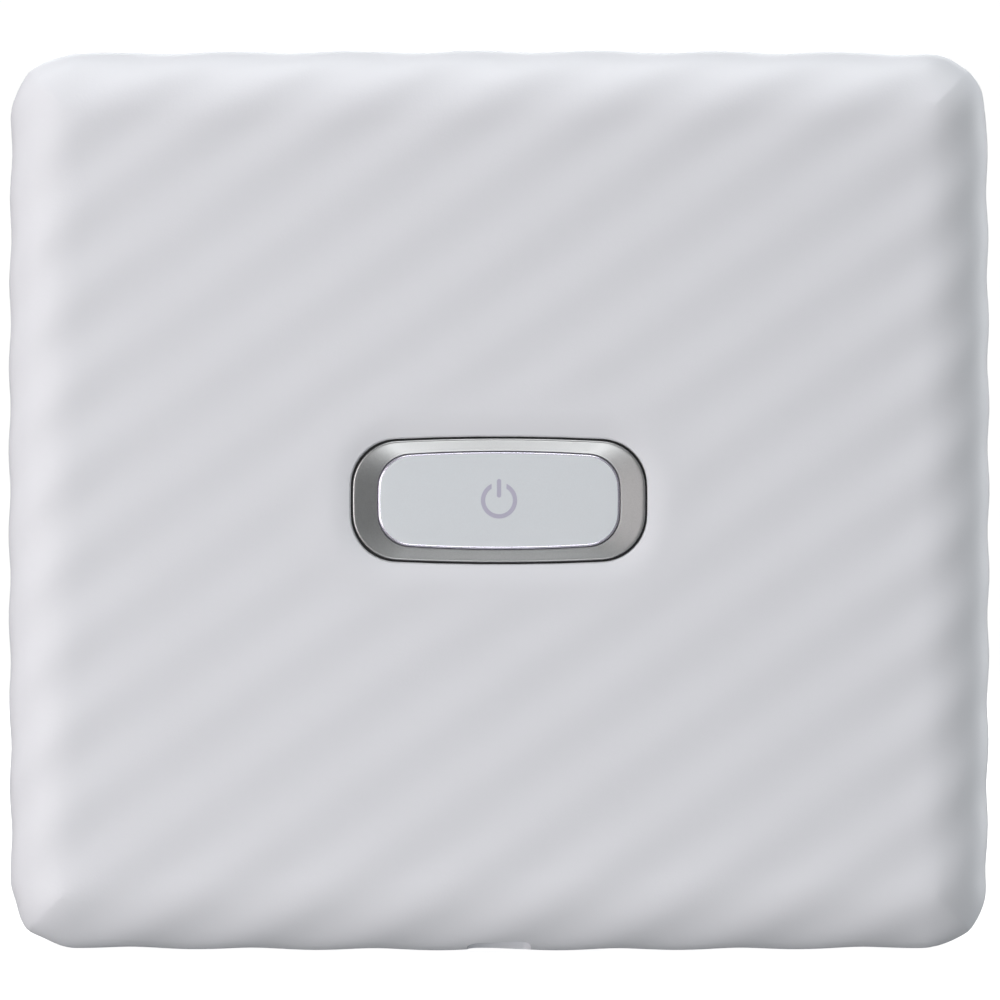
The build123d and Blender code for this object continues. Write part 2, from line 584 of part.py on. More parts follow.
def door_latch():
    """A thumb slide: the pad shows in the door's window and the tongue reaches past its edge."""
    y0, y1 = PACK_BACK_Y + 0.3, BACK_IN - 0.1
    body = block(46.6, 59.8, y0, y1, LATCH_Z - 4.5, LATCH_Z + 4.5)
    body += block(59.0, 62.0, y0 + 0.2, y1, LATCH_Z - 3.2, LATCH_Z + 3.2)
    pad = prism_y(RectangleRounded(6.9, 6.2, 0.9), y1 - 0.2, BACK - 0.35, 54.2, LATCH_Z)
    body += pad
    for k in range(4):
        x = 52.1 + 1.4 * k
        body += block(x - 0.3, x + 0.3, BACK - 0.5, BACK - 0.05, LATCH_Z - 2.4, LATCH_Z + 2.4)
    return body


def latch_spring():
    y = (PACK_BACK_Y + BACK_IN) / 2 + 0.05
    return coil_spring((36.75, y, LATCH_Z), (46.4, y, LATCH_Z), 0.42, 0.15, 10)


# ================================================================ exit guide and seals
def exit_guide():
    """The moulded throat that leads the film from the rollers to the slot."""
    z0, z1 = 118.6, 124.7
    body = block(-60.3, 60.3, -4.9, 7.4, z0, z1)
    body -= prism_z(RectangleRounded(*SLOT, 0.3), z0 - 1, z1 + 1, 0, FILM_Y)
    mouth = block(-SLOT[0] / 2, SLOT[0] / 2, FILM_Y - 3.4, FILM_Y + 3.4, z0 - 0.1, z0 + 0.9)
    body -= mouth
    for side in (-1, 1):
        y0, y1 = sorted((FILM_Y + side * (SLOT[1] / 2 - 0.4), FILM_Y + side * (SLOT[1] / 2 + 0.8)))
        body -= block(-56.6, 56.6, y0, y1, 120.0, 122.4)
    return body


def slot_seals():
    """Two felt strips that keep light out of the slot."""
    strips = []
    for side in (-1, 1):
        y0, y1 = sorted((FILM_Y + side * 0.5, FILM_Y + side * (SLOT[1] / 2 + 0.8)))
        strips.append(block(-56.4, 56.4, y0, y1, 120.05, 122.35))
    return ring_of(strips)


# ================================================================ rollers
def roller_bracket(side):
    """A steel cheek that holds one end of both rollers."""
    x0, x1 = sorted((side * 59.5, side * (CHAMBER_X - 0.05)))
    body = block(x0, x1, -9.0, 10.2, 109.9, 118.2)
    body -= rod_x(2.5, x0 - 1, x1 + 1, *DRIVE_AT)
    body -= block(x0 - 1, x1 + 1, *PINCH_WINDOW)
    for y, z in BRACKET_SCREWS:
        body -= rod_x(0.75, x0 - 1, x1 + 1, y, z)
    return body


def roller_bushes():
    parts = []
    for side in (-1, 1):
        body = rod_x(2.5, *sorted((side * 59.4, side * 61.6)), *DRIVE_AT)
        body += rod_x(3.2, *sorted((side * 58.6, side * 59.45)), *DRIVE_AT)
        parts.append(body - rod_x(DRIVE_SHAFT_R + RUNNING, *sorted((side * 58, side * 62)), *DRIVE_AT))
    return ring_of(parts)


def drive_shaft():
    body = rod_x(DRIVE_SHAFT_R, -64.9, LAYER_C[1], *DRIVE_AT)
    return body + rod_x(2.0, -57.9, 57.9, *DRIVE_AT)


def drive_roller():
    tube = rod_x(ROLLER_R, -ROLLER_HALF, ROLLER_HALF, *DRIVE_AT)
    return tube - rod_x(2.0, -60, 60, *DRIVE_AT)


def pinch_roller():
    body = rod_x(ROLLER_R, -ROLLER_HALF, ROLLER_HALF, *PINCH_AT)
    for x in (-40.0, 40.0):
        body -= rod_x(ROLLER_R + 1, x - 1, x + 1, *PINCH_AT) - rod_x(ROLLER_R - 0.25, x - 2, x + 2, *PINCH_AT)
    return body + rod_x(PINCH_SHAFT_R, -60.9, LAYER_C[1], *PINCH_AT)


def pinch_bearings():
    parts = []
    for side in (-1, 1):
        x0, x1 = sorted((side * 59.2, side * 60.8))
        body = block(x0, x1, PINCH_Y - 1.8, PINCH_Y + 1.8, ROLLER_Z - 1.95, ROLLER_Z + 1.95)
        parts.append(body - rod_x(PINCH_SHAFT_R + RUNNING, x0 - 1, x1 + 1, *PINCH_AT))
    return ring_of(parts)


def pinch_springs():
    """Two springs that push the pinch roller onto the drive roller."""
    return ring_of(
        coil_spring((side * 60.0, PINCH_Y + 1.98, ROLLER_Z), (side * 60.0, 9.32, ROLLER_Z), 0.8, 0.15, 4)
        for side in (-1, 1))


def encoder_disc():
    x0, x1 = -64.6, -64.2
    disc = Circle(6.0) - Circle(DRIVE_SHAFT_R)
    for k in range(20):
        disc -= Rot(0, 0, 18 * k) * Pos(4.7, 0) * Rectangle(1.5, 0.6)
    hub = Circle(2.4) - Circle(DRIVE_SHAFT_R)
    return prism_x(disc, x0, x1, *DRIVE_AT) + prism_x(hub, x0, x1 + 1.2, *DRIVE_AT)


def encoder_sensor():
    """A forked light barrier across the disc's rim."""
    body = block(-66.2, -61.8, -11.0, -7.6, ROLLER_Z - 2, ROLLER_Z + 2)
    return body - block(-65.0, -63.8, -9.6, -7.0, ROLLER_Z - 3, ROLLER_Z + 3)


# ================================================================ exposure head
HEAD_Z = (103.4, 109.6)


def print_head():
    body = block(-57.5, 57.5, -12.0, -2.9, *HEAD_Z)
    body = chamfer(body.edges().filter_by(Axis.X).sort_by(Axis.Y)[:2], 1.0)
    body += block(-56.5, 56.5, -3.0, -1.3, 107.1, HEAD_Z[1])
    body -= block(-55.1, 55.1, -6.0, 0, 107.6, 109.2)
    for side in (-1, 1):
        body += block(*sorted((side * 57.0, side * 60.4)), -10.0, -5.0, 104.2, 108.0)
    return body - block(-54, 54, -13, -10.4, 104.6, 108.4)


def lens_array():
    return block(-55.0, 55.0, -5.9, -1.0, 107.7, 109.1)


def head_board():
    return block(-53.5, 53.5, -11.4, -10.5, 104.8, 108.2)


def ribbon_cable():
    """The flat cable from the exposure head to the main board, folded once."""
    t = 0.25
    run = [(-11.65, 107.6), (-12.45, 106.4), (-12.9, 103.0), (-12.9, 97.5), (-11.05, 95.4)]
    back = [(y + t, z) for y, z in reversed(run)]
    return prism_x(make_face(Polyline(*run, *back, close=True)), -10, 10)


# ================================================================ motor and gears
def involute(angle):
    return tan(angle) - angle


def gear_sketch(teeth, phase):
    """A spur gear's outline. phase is where one tooth points, in radians from +Y towards +Z."""
    pitch_r = MODULE * teeth / 2
    tip_r, root_r = pitch_r + 0.8 * MODULE, pitch_r - 1.2 * MODULE
    pressure = radians(20)
    base_r = pitch_r * cos(pressure)
    half = pi / (2 * teeth) - BACKLASH / pitch_r
    start = max(base_r, root_r)
    flank = [(root_r, half + involute(pressure))] if root_r < base_r else []
    for k in range(4):
        r = start + (tip_r - start) * k / 3
        flank.append((r, half + involute(pressure) - involute(acos(min(1.0, base_r / r)))))
    points = []
    for n in range(teeth):
        centre = phase + 2 * pi * n / teeth
        points += [(r * cos(centre - a), r * sin(centre - a)) for r, a in flank]
        points += [(r * cos(centre + a), r * sin(centre + a)) for r, a in reversed(flank)]
    return make_face(Polyline(*points, close=True))


def meshed(a, teeth_a, phase_a, b, teeth_b):
    """The phase that puts gear b's gap where gear a's tooth is."""
    line = atan2(b[1] - a[1], b[0] - a[0])
    share = (line - phase_a) * teeth_a / (2 * pi)
    return line + pi - (0.5 - share) * 2 * pi / teeth_b


ROLLER_PHASE = 0.0
PINCH_PHASE = meshed(DRIVE_AT, ROLLER_T, ROLLER_PHASE, PINCH_AT, ROLLER_T)
IDLER_PHASE = meshed(DRIVE_AT, ROLLER_T, ROLLER_PHASE, IDLER_AT, IDLER_T)
SECOND_SMALL_PHASE = meshed(IDLER_AT, IDLER_T, IDLER_PHASE, SECOND_AT, SMALL_T)
FIRST_SMALL_PHASE = meshed(SECOND_AT, WHEEL_T, 0.0, FIRST_AT, SMALL_T)
MOTOR_PHASE = meshed(FIRST_AT, WHEEL_T, 0.0, MOTOR_AT, MOTOR_T)
FEED_PHASE = meshed(FIRST_AT, SMALL_T, FIRST_SMALL_PHASE, FEED_AT, WHEEL_T)
CAM_PHASE = meshed(FEED_AT, SMALL_T, 0.0, CAM_AT, CAM_T)


def wheel(teeth, phase, layer, at, bore):
    """One toothed rim, dished on both faces when it is large."""
    body = prism_x(gear_sketch(teeth, phase), *layer, *at)
    if teeth >= WHEEL_T:
        outer, inner = MODULE * teeth / 2 - 1.9, 3.9
        dish = Circle(outer) - Circle(inner)
        body -= prism_x(dish, layer[0] - 1, layer[0] + 0.3, *at)
        body -= prism_x(dish, layer[1] - 0.3, layer[1] + 1, *at)
    return body - rod_x(bore, layer[0] - 1, layer[1] + 1, *at)


def compound_gear(at, wheel_layer, wheel_phase, small_layer, small_phase):
    """A wheel and a pinion moulded in one piece."""
    bore = POST_R + RUNNING
    body = wheel(WHEEL_T, wheel_phase, wheel_layer, at, bore)
    body += wheel(SMALL_T, small_phase, small_layer, at, bore)
    gap = sorted((*wheel_layer, *small_layer))[1:3]
    return body + prism_x(Circle(2.2) - Circle(bore), gap[0] - 0.1, gap[1] + 0.1, *at)


def first_gear():
    return compound_gear(FIRST_AT, LAYER_A, 0.0, LAYER_B, FIRST_SMALL_PHASE)


def second_gear():
    return compound_gear(SECOND_AT, LAYER_B, 0.0, LAYER_C, SECOND_SMALL_PHASE)


def feed_gear():
    return compound_gear(FEED_AT, LAYER_B, FEED_PHASE, LAYER_C, 0.0)


def idler_gear():
    return wheel(IDLER_T, IDLER_PHASE, LAYER_C, IDLER_AT, POST_R + RUNNING)


def roller_gear():
    return wheel(ROLLER_T, ROLLER_PHASE, LAYER_C, DRIVE_AT, DRIVE_SHAFT_R)


def pinch_gear():
    return wheel(ROLLER_T, PINCH_PHASE, LAYER_C, PINCH_AT, PINCH_SHAFT_R)


def cam_gear():
    """The feed gear with the eccentric that works the claw; the eccentric rests pointing up."""
    bore = POST_R + RUNNING
    body = wheel(CAM_T, CAM_PHASE, LAYER_C, CAM_AT, bore)
    y, z = CAM_AT
    body += rod_x(CAM_R, LAYER_B[0], LAYER_C[0] + 0.2, y, z + CAM_OFFSET)
    return body - rod_x(bore, LAYER_B[0] - 1, LAYER_C[1] + 1, *CAM_AT)


def motor_pinion():
    body = wheel(MOTOR_T, MOTOR_PHASE, LAYER_A, MOTOR_AT, 0.5)
    return body + rod_x(0.5, 60.2, LAYER_A[1], *MOTOR_AT)


def drive_motor():
    """A small flat-sided motor can with a bearing boss at the shaft's end."""
    y, z = MOTOR_AT
    can = Circle(6.0) & Rectangle(10.0, 14.0)
    body = prism_x(can, 43.0, 60.0, y, z)
    body = fillet(body.faces().sort_by(Axis.X)[0].edges(), 0.6)
    body += rod_x(2.0, 59.9, 61.2, y, z) + rod_x(2.6, 41.9, 43.1, y, z)
    for dz in (-3.4, 3.4):
        body += block(41.4, 43.1, y - 0.9, y + 0.9, z + dz - 0.25, z + dz + 0.25)
    return body - rod_x(0.5 + RUNNING, 60.1, 62, y, z)


def gear_posts():
    x0, x1 = CHAMBER_X + 0.2, GEAR_PLATE_X[1]
    posts = [rod_x(POST_R, x0, x1, *at) for at in (FIRST_AT, SECOND_AT, FEED_AT, CAM_AT)]
    posts.append(rod_x(POST_R, LAYER_C[0] - 0.05, x1, *IDLER_AT))
    return ring_of(posts)


def gear_plate():
    """The steel plate that holds the posts' outer ends, staked onto three columns."""
    x0, x1 = GEAR_PLATE_X
    body = block(x0, x1, -11.2, 11.3, 54.5, 101.0)
    body += block(x0, x1, IDLER_AT[0] - 3.5, IDLER_AT[0] + 3.5, 100, IDLER_AT[1] + 3.0)
    body = fillet(body.edges().filter_by(Axis.X), 1.2)
    for y, z in COLUMNS:
        body -= rod_x(0.8, x0 - 1, x1 + 1, y, z)
    for at in (FIRST_AT, SECOND_AT, IDLER_AT, FEED_AT, CAM_AT):
        body -= rod_x(POST_R, x0 - 1, x1 + 1, *at)
    body -= block(x0 - 1, x1 + 1, 4.6, 8.4, 73, 80)
    return body


# ================================================================ claw
CLAW_TOP = CAM_AT[1] - CAM_R - CAM_OFFSET - CAM_CLEARANCE


def film_claw():
    """The slide that pushes one film out of its pack: a plate with a hooked foot, and an arm
    round the chassis to a follower under the cam."""
    x0, x1 = CLAW_X
    y0, y1 = CLAW_Y
    body = block(x0, x1, y0, y1, 14.0, 45.4)
    body += block(x0 + 2, x1 - 2, y0, 0.4, 14.0, 15.4)
    body -= rod_y(1.6, y0 - 1, y1 + 1, (x0 + x1) / 2, 22.0)
    body += block(44.8, x0 + 0.5, y0, y1, 22.0, 23.4)
    body += block(x1 - 0.5, LAYER_B[1], y0, y1, 42.0, 45.4)
    body += block(LAYER_B[0], LAYER_B[1], y0, CAM_AT[0] + 1.6, 42.0, CLAW_TOP)
    return body


def claw_spring():
    y = sum(CLAW_Y) / 2
    return coil_spring((46.0, y, 23.5), (46.0, y, 41.9), 0.68, 0.15, 14)


# ================================================================ screws
SCREW_FRONT = Rot(90, 0, 0)       # head towards -Y
SCREW_REAR = Rot(-90, 0, 0)       # head towards +Y


def front_screws():
    """Four screws that hold the front cover to the chassis, from behind."""
    parts = []
    for x, z in FRONT_BOSSES:
        seat = FRONT_BEAM_Y[1] if z > BUTTON_Z else FLOOR_Y[1]
        parts.append(screw(SCREW_R, 6.0, 1.5, 0.9, Pos(x, seat, z) * SCREW_REAR))
    return ring_of(parts)


def rear_screws():
    """Four screws that hold the rear cover: two in the back and two in the bottom."""
    parts = [screw(SCREW_R, 6.6, 1.6, 1.0, Pos(x, BACK - 1.3, z) * SCREW_REAR) for x, z in REAR_BOSSES]
    turned = Rot(180, 0, 0)
    parts += [screw(SCREW_R, 6.3, 1.6, 1.0, Pos(x, y, FOOT_RECESS) * turned) for x, y in FOOT_BOSSES]
    return ring_of(parts)


def board_screws():
    parts = [screw(SCREW_R, 5.0, 1.5, 0.9, Pos(x, BOARD_Y[0], z) * SCREW_FRONT) for x, z in BOARD_POSTS]
    for dz in (-5.5, 5.5):
        place = Pos(-63.9, 2.4, FUNCTION_AT[1] + dz) * Rot(0, -90, 0)
        parts.append(screw(0.6, 2.6, 1.2, 0.7, place))
    return ring_of(parts)


def bracket_screws():
    parts = []
    for side in (-1, 1):
        for y, z in BRACKET_SCREWS:
            place = Pos(side * 59.5, y, z) * Rot(0, -90 * side, 0)
            parts.append(screw(0.6, 1.9, 1.2, 0.6, place))
    return ring_of(parts)


# ================================================================ all nodes
NODES = {
    "front_cover": front_cover,
    "rear_cover": rear_cover,
    "film_door": film_door,
    "door_hinge_pins": door_hinge_pins,
    "door_seal": door_seal,
    "pack_springs": pack_springs,
    "door_latch": door_latch,
    "latch_spring": latch_spring,
    "button_bezel": button_bezel,
    "power_button": power_button,
    "power_mark": power_mark,
    "light_guide": light_guide,
    "status_leds": status_leds,
    "power_switch": power_switch,
    "function_button": function_button,
    "function_switch": function_switch,
    "side_board": side_board,
    "reset_button": reset_button,
    "reset_switch": reset_switch,
    "usb_socket": usb_socket,
    "main_board": main_board,
    "board_chips": board_chips,
    "board_connectors": board_connectors,
    "shield_can": shield_can,
    "battery": battery,
    "battery_leads": battery_leads,
    "chassis": chassis,
    "exit_guide": exit_guide,
    "slot_seals": slot_seals,
    "left_roller_bracket": lambda: roller_bracket(-1),
    "right_roller_bracket": lambda: roller_bracket(1),
    "roller_bushes": roller_bushes,
    "drive_shaft": drive_shaft,
    "drive_roller": drive_roller,
    "roller_gear": roller_gear,
    "pinch_roller": pinch_roller,
    "pinch_gear": pinch_gear,
    "pinch_bearings": pinch_bearings,
    "pinch_springs": pinch_springs,
    "encoder_disc": encoder_disc,
    "encoder_sensor": encoder_sensor,
    "print_head": print_head,
    "lens_array": lens_array,
    "head_board": head_board,
    "ribbon_cable": ribbon_cable,
    "drive_motor": drive_motor,
    "motor_pinion": motor_pinion,
    "first_gear": first_gear,
    "second_gear": second_gear,
    "idler_gear": idler_gear,
    "feed_gear": feed_gear,
    "cam_gear": cam_gear,
    "gear_posts": gear_posts,
    "gear_plate": gear_plate,
    "film_claw": film_claw,
    "claw_spring": claw_spring,
    "front_screws": front_screws,
    "rear_screws": rear_screws,
    "board_screws": board_screws,
    "bracket_screws": bracket_screws,
}


def main():
    os.makedirs("parts", exist_ok=True)
    for name, make in NODES.items():
        export_step(make(), f"parts/{name}.step")


main()
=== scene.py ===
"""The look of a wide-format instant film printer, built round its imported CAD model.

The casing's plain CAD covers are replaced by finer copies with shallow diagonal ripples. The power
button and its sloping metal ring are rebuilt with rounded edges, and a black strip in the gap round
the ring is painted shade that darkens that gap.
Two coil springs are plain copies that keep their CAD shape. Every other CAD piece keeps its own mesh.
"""
import json
import math

import bmesh
import bpy
import numpy as np
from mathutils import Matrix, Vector

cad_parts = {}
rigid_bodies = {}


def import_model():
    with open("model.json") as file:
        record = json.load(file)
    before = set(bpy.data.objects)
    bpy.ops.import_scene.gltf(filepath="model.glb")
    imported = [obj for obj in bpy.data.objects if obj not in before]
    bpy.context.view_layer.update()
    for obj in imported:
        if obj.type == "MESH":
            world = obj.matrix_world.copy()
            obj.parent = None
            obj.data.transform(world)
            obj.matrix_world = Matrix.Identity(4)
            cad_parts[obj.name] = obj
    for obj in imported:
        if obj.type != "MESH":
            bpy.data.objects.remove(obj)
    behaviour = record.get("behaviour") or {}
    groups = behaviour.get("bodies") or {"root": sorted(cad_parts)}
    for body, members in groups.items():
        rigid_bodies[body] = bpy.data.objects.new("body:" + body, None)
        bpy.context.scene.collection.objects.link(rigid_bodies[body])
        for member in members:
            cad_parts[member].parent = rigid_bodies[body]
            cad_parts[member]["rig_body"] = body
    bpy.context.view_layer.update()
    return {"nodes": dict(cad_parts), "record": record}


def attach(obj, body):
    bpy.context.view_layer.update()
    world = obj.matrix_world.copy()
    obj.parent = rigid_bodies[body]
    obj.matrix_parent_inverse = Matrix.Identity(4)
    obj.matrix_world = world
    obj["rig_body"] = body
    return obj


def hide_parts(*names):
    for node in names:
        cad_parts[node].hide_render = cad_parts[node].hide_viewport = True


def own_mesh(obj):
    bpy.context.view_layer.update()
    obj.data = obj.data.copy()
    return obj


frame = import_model()

MM = 0.001

# ---------------------------------------------------------------- casing, in millimetres
WIDTH, HEIGHT, DEPTH = 139.0, 127.5, 33.7
CORNER_R, EDGE_R = 9.5, 7.5
EDGE_WIDTH = 10.0         # the front edge's rounding is flatter than the CAD arc, and this wide
CORNER_PULL = 0.42        # the corners lie this far inside the bowed sides
SEAM_Y = 6.0              # the seam between the covers
MID_Z = HEIGHT / 2
FRONT = -DEPTH / 2
CORE_X, CORE_Y, CORE_Z = WIDTH / 2 - EDGE_R, DEPTH / 2 - EDGE_R, HEIGHT / 2 - EDGE_R

# ---------------------------------------------------------------- ripples, in millimetres
RIPPLE_ANGLE = math.radians(34.86)
RIPPLE_PITCH = 9.82
RIPPLE_VALLEY = 6.75      # where a valley lies, measured across the ripples
RIPPLE_INNER, RIPPLE_EDGE, RIPPLE_BACK = 0.145, 0.28, 0.16    # depths: front, its edges, and back
EDGE_BAND = 14.0          # the ripples grow over this much of the front beside its edges
SEAM_FADE = 7.0           # they fade out over this distance from the seam
RING_CALM, RING_FADE = 1.0, 9.0   # none this near the ring, and they grow over the next stretch
DISH_DEPTH, DISH_WIDTH, DISH_CURVE = 0.5, 3.2, 1.5            # the dip in the cover round the ring

# ---------------------------------------------------------------- the covers' finer mesh
SKIN, SKIN_FADE = 1.0, 0.6    # how deep below the surface the ripples carry in full, and fade out
SKIN_SLACK = 0.06         # how far a CAD face may stray from the true surface
SKIN_FACING = 0.95        # least cosine between a skin face and the surface's own direction
GRID = 1.5                # the mesh size
EDGE_STEP = 9             # degrees of the edge's arc that one face spans
SMOOTH_ANGLE = math.radians(30)
WELD = 1e-7               # metres

# ---------------------------------------------------------------- power button, in millimetres
BEZEL, BEZEL_R = (41.15, 17.4), 6.5           # the ring's outer outline and its corners
PAD, PAD_R = (34.1, 13.75), 4.7               # the pad's outline and its corners
BOW = 0.7                 # how far the long sides bulge
PANEL_GAP, PAD_GAP = 0.3, 0.08                # between ring and cover, and between pad and ring
RIM_Y, LOW_Y = FRONT + 0.35, FRONT + 0.92     # the ring's rim, and its surface beside the pad
RIM_R, LIP_R = 0.22, 0.08                     # how round its two edges are
CREST = 0.26              # how far inside the outline its slope starts
RING_FLANGE = 1.7         # how far its flange reaches behind the cover
RING_SEAT_Y, RING_BACK_Y = FRONT + 2.05, FRONT + 3.0          # the flange's two faces
# the front face of the black strip that paints shade in the gap round the ring
GAP_SHADE_Y = FRONT + 0.95
PAD_Y, PAD_EDGE, PAD_CROWN = FRONT + 0.6, 0.4, 0.08
PAD_FLANGE = 1.2
PAD_SEAT_Y, PAD_BACK_Y = FRONT + 3.15, FRONT + 3.95           # the pad's flange
STEM_R, STEM_Y = 2.0, FRONT + 5.5             # the plunger behind the pad
LOFT_ANGLE = math.radians(40)                 # edges sharper than this stay sharp

# ---------------------------------------------------------------- coil springs
# CAD node, name of its copy, joint that presses it, direction of its axis,
# its fixed and its free end along that axis, and the joint's travel
SPRINGS = (
    ("latch_spring", "latch_coil", "door_latch_slide", (1, 0, 0), 36.75, 46.4, 2.5),
    ("claw_spring", "claw_coil", "film_claw_slide", (0, 0, 1), 41.9, 23.5, 3.2),
)

# ---------------------------------------------------------------- camera
LENS, SENSOR = 250, 36    # millimetres
FILL = 0.981              # how much of the picture's width the casing takes up
CAMERA_X, CAMERA_Z = 0.14, MID_Z + 0.05

# ---------------------------------------------------------------- studio
WORLD_LEVEL = 0.17
WORLD_COLOUR = (0.97, 1.0, 1.0)
BACKDROP_GLOW = 0.88

# name, bearing from the front and height in degrees, side and distance in metres, watts, colour
SOFTBOXES = (
    ("left_softbox", -48, 3, 0.8, 1.1, 6.3, (1.06, 1.0, 0.99)),
    ("left_side", -75, 5, 0.6, 1.1, 0.7, (1.0, 1.0, 1.0)),
    ("top_softbox", 0, 80, 0.8, 1.1, 7.6, (0.98, 1.0, 1.0)),
    ("high_front", 0, 32, 0.9, 1.1, 0.75, (0.97, 1.0, 1.0)),
    ("floor_bounce", 0, -32, 0.4, 0.9, 1.5, (0.98, 1.0, 1.0)),
    ("right_rim", 115, 5, 0.6, 1.1, 5.2, (0.98, 1.0, 1.01)),
    ("left_rim", -115, 5, 0.6, 1.1, 0.8, (1.0, 1.0, 1.0)),
    ("back_softbox", 180, 22, 0.9, 1.2, 8.0, (1.0, 1.0, 1.0)),
)


def add_object(name, data):
    """A new object in the scene."""
    made = bpy.data.objects.new(name, data)
    bpy.context.scene.collection.objects.link(made)
    return made


# ================================================================ casing surface
def smooth(t):
    """A ramp from 0 to 1 that starts and ends level."""
    t = np.clip(t, 0.0, 1.0)
    return t * t * (3 - 2 * t)


def slab(points):
    """For points in mm: the nearest point of the core, the way out from it and the distance."""
    x, y, z = points[:, 0], points[:, 1], points[:, 2] - MID_Z
    r = CORNER_R - EDGE_R
    inner = np.stack([np.clip(x, r - CORE_X, CORE_X - r), np.clip(z, r - CORE_Z, CORE_Z - r)], 1)
    away = np.stack([x, z], 1) - inner
    far = np.linalg.norm(away, axis=1)
    scale = np.where(far > r, r / np.maximum(far, 1e-9), 1.0)
    flat = inner + away * scale[:, None]
    core = np.stack([flat[:, 0], np.clip(y, -CORE_Y, CORE_Y), flat[:, 1] + MID_Z], 1)
    out = points - core
    dist = np.linalg.norm(out, axis=1)
    return core, out / np.maximum(dist, 1e-9)[:, None], dist


def bezel_distance(x, z):
    """How far a point lies outside the ring's outline."""
    qx = np.abs(x) - (BEZEL[0] / 2 - BEZEL_R)
    qz = np.abs(z - MID_Z) - (BEZEL[1] / 2 - BEZEL_R)
    outside = np.hypot(np.maximum(qx, 0), np.maximum(qz, 0))
    return outside + np.minimum(np.maximum(qx, qz), 0) - BEZEL_R


def soft_edge(turn, inside):
    """How far the front's elliptical edge lies inside the CAD arc.

    Turn is the surface's angle from the flat front, and inside the distance to the core's border.
    """
    start = np.maximum(EDGE_WIDTH - EDGE_R - inside, 0)
    # where the way out from the core meets the ellipse
    s, c = np.sin(turn) / EDGE_WIDTH, np.cos(turn) / EDGE_R
    a = s * s + c * c
    b = start * s / EDGE_WIDTH
    reach = (np.sqrt(b * b - a * ((start / EDGE_WIDTH) ** 2 - 1)) - b) / a
    return EDGE_R - reach


def ripple_wave(core, out, turn, front):
    """The ripples' profile, 0 on a crest and 1 in a valley. It runs on round the edges."""
    side = np.hypot(out[:, 0], out[:, 2])
    way = np.stack([out[:, 0], out[:, 2]], 1) / np.maximum(side, 1e-9)[:, None]
    past_edge = np.where(front, core[:, 1] + CORE_Y, CORE_Y - core[:, 1])
    arc = EDGE_R * turn + np.maximum(past_edge, 0)
    u = core[:, 0] + way[:, 0] * arc
    v = core[:, 2] + way[:, 1] * arc
    u = np.where(front, u, -u)
    across = v * math.cos(RIPPLE_ANGLE) - u * math.sin(RIPPLE_ANGLE)
    return 0.5 + 0.5 * np.cos(2 * math.pi * (across - RIPPLE_VALLEY) / RIPPLE_PITCH)


def ripple_size(points, near, on_front):
    """The ripples' depth: more towards the edges, and none at the seam and beside the ring."""
    x, y, z = np.abs(points[:, 0]), points[:, 1], np.abs(points[:, 2] - MID_Z)
    edge = np.maximum(x - (CORE_X - EDGE_BAND), z - (CORE_Z - EDGE_BAND)) / EDGE_BAND
    size = RIPPLE_INNER + (RIPPLE_EDGE - RIPPLE_INNER) * smooth(edge)
    size = np.where(y < SEAM_Y, size, RIPPLE_BACK)
    size = size * smooth(np.abs(y - SEAM_Y) / SEAM_FADE)
    return size * (1 - on_front * (1 - smooth((near - RING_CALM) / RING_FADE)))


def depth(points):
    """How far the real surface lies inside the CAD one, in mm, for points on the CAD one."""
    core, out, _ = slab(points)
    x, y, z = points[:, 0], points[:, 1], points[:, 2]
    front = y < SEAM_Y
    facing = np.where(front, -out[:, 1], out[:, 1])
    turn = np.arccos(np.clip(facing, 0.0, 1.0))
    on_front = smooth(-out[:, 1] * 2)
    near = bezel_distance(x, z)
    ripples = ripple_size(points, near, on_front) * ripple_wave(core, out, turn, front)
    dish = DISH_DEPTH * on_front * (1 - np.clip(near / DISH_WIDTH, 0, 1)) ** DISH_CURVE
    inside = np.minimum(CORE_X - np.abs(core[:, 0]), CORE_Z - np.abs(core[:, 2] - MID_Z))
    edge_gap = np.where(front, soft_edge(turn, np.maximum(inside, 0)), 0.0)
    bow = np.abs(out[:, 0]) * ((z - MID_Z) / MID_Z) ** 2 + np.abs(out[:, 2]) * (x / (WIDTH / 2)) ** 2
    return ripples + dish + CORNER_PULL * bow + edge_gap


def surface_normals(points, out):
    """Directions of the rippled surface at points on the CAD one."""
    step = 0.05
    slope = np.zeros_like(points)
    for k in range(3):
        shift = np.zeros(3)
        shift[k] = step
        slope[:, k] = (depth(points + shift) - depth(points - shift)) / (2 * step)
    slope -= out * np.sum(slope * out, axis=1)[:, None]
    normal = out + slope
    return normal / np.linalg.norm(normal, axis=1)[:, None]


def cut_planes():
    """Where the covers' skin is cut along each axis: an even grid, and finer steps round the edges."""
    turns = [math.radians(a) for a in range(EDGE_STEP, 90, EDGE_STEP)]
    planes = []
    for axis, core, centre in ((0, CORE_X, 0.0), (1, CORE_Y, 0.0), (2, CORE_Z, MID_Z)):
        count = max(2, round(2 * core / GRID))
        values = [-core + 2 * core * k / count for k in range(count + 1)]
        values += [s * (core + EDGE_R * math.sin(a)) for a in turns for s in (-1, 1)]
        planes.append((axis, sorted(centre + v for v in values)))
    return planes


def split(bm, faces, axis, values):
    """Cuts faces with planes square to an axis, halving the work each time."""
    if not values or not faces:
        return faces
    middle = len(values) // 2
    normal = Vector([float(axis == k) for k in range(3)])
    place = values[middle] * MM
    edges = list(dict.fromkeys(e for f in faces for e in f.edges))
    verts = list(dict.fromkeys(v for f in faces for v in f.verts))
    cut = bmesh.ops.bisect_plane(
        bm, geom=faces + edges + verts, dist=WELD, plane_co=normal * place, plane_no=normal)
    pieces = [g for g in cut["geom"] if isinstance(g, bmesh.types.BMFace)]
    low = [f for f in pieces if f.calc_center_median()[axis] < place]
    high = [f for f in pieces if f.calc_center_median()[axis] >= place]
    return split(bm, low, axis, values[:middle]) + split(bm, high, axis, values[middle + 1:])


